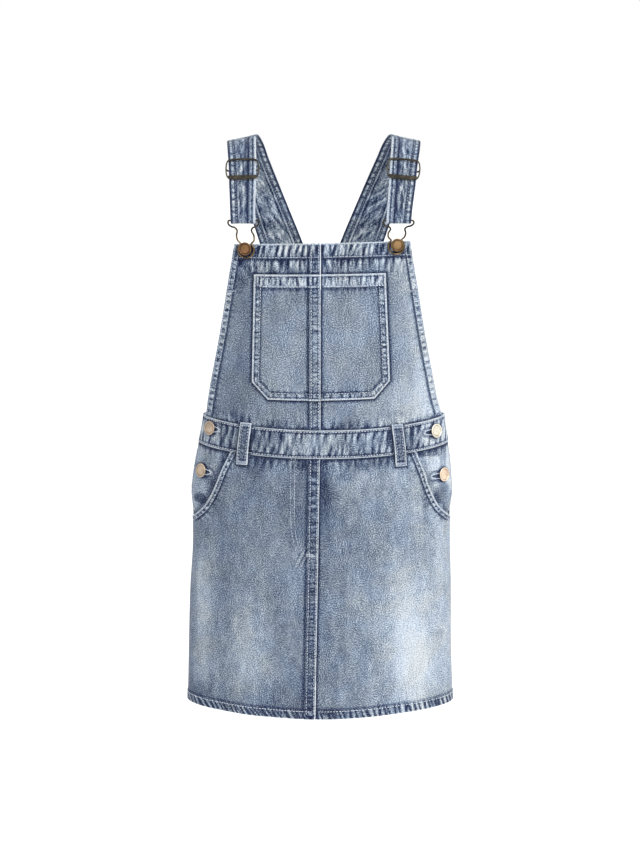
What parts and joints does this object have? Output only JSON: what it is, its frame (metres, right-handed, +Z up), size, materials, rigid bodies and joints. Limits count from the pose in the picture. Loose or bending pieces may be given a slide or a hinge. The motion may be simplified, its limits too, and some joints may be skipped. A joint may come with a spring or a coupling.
{
  "type": "pinafore dress",
  "caption": "Sleeveless denim pinafore dress with a bib, bib pocket, crossed straps on hooks and sliders, waistband, scooped hand pockets and a straight skirt, filled out as worn.",
  "frame": {"origin": "midway between the tops of the two straps on the shoulders, where the wearer holds the dress", "axes": "+Z up along the wearer, -Y out of the front, +X towards the right of someone looking at the front"},
  "size_m": [0.2985, 0.1496, 0.6318],
  "materials": {
    "denim": "light washed indigo denim twill, brushed and faded",
    "denim_band": "light washed denim in two layers, puckered along its stitching",
    "denim_strap": "light washed denim strap, topstitched",
    "dark_wire": "dark antique plated wire",
    "button_metal": "antique copper, satin"
  },
  "bodies": {
    "root": {"back_skirt": "denim", "belt_loop_left": "denim_band", "belt_loop_right": "denim_band", "bib_button_left": "button_metal", "bib_button_right": "button_metal", "bib_left": "denim", "bib_pocket_left": "denim", "bib_pocket_right": "denim", "bib_right": "denim", "button_stand_left": "denim_band", "button_stand_right": "denim_band", "front_skirt_left": "denim", "front_skirt_right": "denim", "hip_button_left": "button_metal", "hip_button_right": "button_metal", "hook_left": "dark_wire", "hook_right": "dark_wire", "side_front_left": "denim", "side_front_right": "denim", "slider_left": "dark_wire", "slider_right": "dark_wire", "strap_left": "denim_strap", "strap_right": "denim_strap", "waist_button_left": "button_metal", "waist_button_right": "button_metal", "waistband_back": "denim_band", "waistband_front": "denim_band"}
  },
  "joints": []
}
